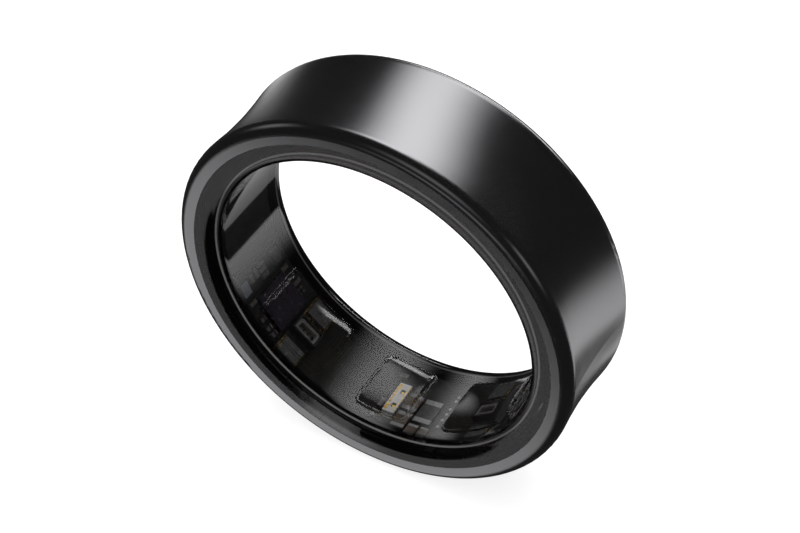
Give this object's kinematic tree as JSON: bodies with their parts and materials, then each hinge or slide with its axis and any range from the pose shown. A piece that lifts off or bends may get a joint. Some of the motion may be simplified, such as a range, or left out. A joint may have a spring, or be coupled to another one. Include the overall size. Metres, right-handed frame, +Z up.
{
  "type": "smart ring",
  "caption": "Finger ring with a dished metal band, clear resin lining with raised sensor windows, curved battery and circuit board inside.",
  "frame": {"origin": "middle of the ring's footprint, on the floor under its lowest lips as it stands upright", "axes": "+Y along the finger from the front rim to the back rim, +Z up with the sensor windows at the bottom, +X to the right seen from the front rim"},
  "size_m": [0.024, 0.007, 0.024],
  "materials": {
    "coated_metal": "satin black coated titanium",
    "smoked_resin": "polished clear resin with a dark smoky tint",
    "flex_film": "amber polyimide film over copper",
    "board": "black solder mask over fine tracks",
    "violet_die": "bare die with a violet sheen",
    "moulded_black": "black moulding compound",
    "metal_can": "nickel can",
    "grey_ceramic": "blue-grey ceramic",
    "white_ceramic": "white moulded housing",
    "lamp_housing": "pale grey moulded housing",
    "lamp_die": "amber die with a gold bond",
    "barrier_black": "light-tight black moulding",
    "photodiode": "dark silicon under clear coat",
    "gold": "gold plate",
    "copper": "bare copper winding",
    "solder": "dull tin plate",
    "brown_ceramic": "brown ceramic",
    "tan_ceramic": "tan ceramic",
    "ferrite": "grey ferrite",
    "battery_foil": "aluminium laminate pouch",
    "tape": "double-sided tape",
    "antenna_film": "amber polyimide film"
  },
  "bodies": {
    "root": {"outer_shell": "coated_metal", "resin_liner": "smoked_resin", "flex_board": "flex_film", "centre_plate": "board", "left_optics_plate": "board", "right_optics_plate": "board", "processor_plate": "board", "power_plate": "board", "radio_plate": "board", "motion_plate": "board", "charge_plate": "board", "processor_chip": "violet_die", "power_chip": "moulded_black", "radio_filter": "grey_ceramic", "motion_sensor": "metal_can", "memory_chip": "moulded_black", "clock_crystal": "metal_can", "temperature_sensor": "moulded_black", "charge_chip": "moulded_black", "left_lamp_frame": "lamp_housing", "right_lamp_frame": "lamp_housing", "left_lamp_dies": "lamp_die", "right_lamp_dies": "lamp_die", "left_light_barrier": "barrier_black", "right_light_barrier": "barrier_black", "left_photodiodes": "photodiode", "right_photodiodes": "photodiode", "diode_guard_tracks": "gold", "emitter_block": "white_ceramic", "emitter_dies": "lamp_die", "emitter_tracks": "gold", "large_capacitors": "brown_ceramic", "large_capacitor_ends": "solder", "power_inductor": "ferrite", "inductor_ends": "solder", "small_capacitors": "tan_ceramic", "small_capacitor_ends": "solder", "test_pads": "gold", "battery_cell": "battery_foil", "battery_tabs": "solder", "battery_tape": "tape", "ferrite_sheet": "ferrite", "charging_coil": "copper", "antenna_film": "antenna_film", "antenna_track": "gold"}
  },
  "joints": []
}
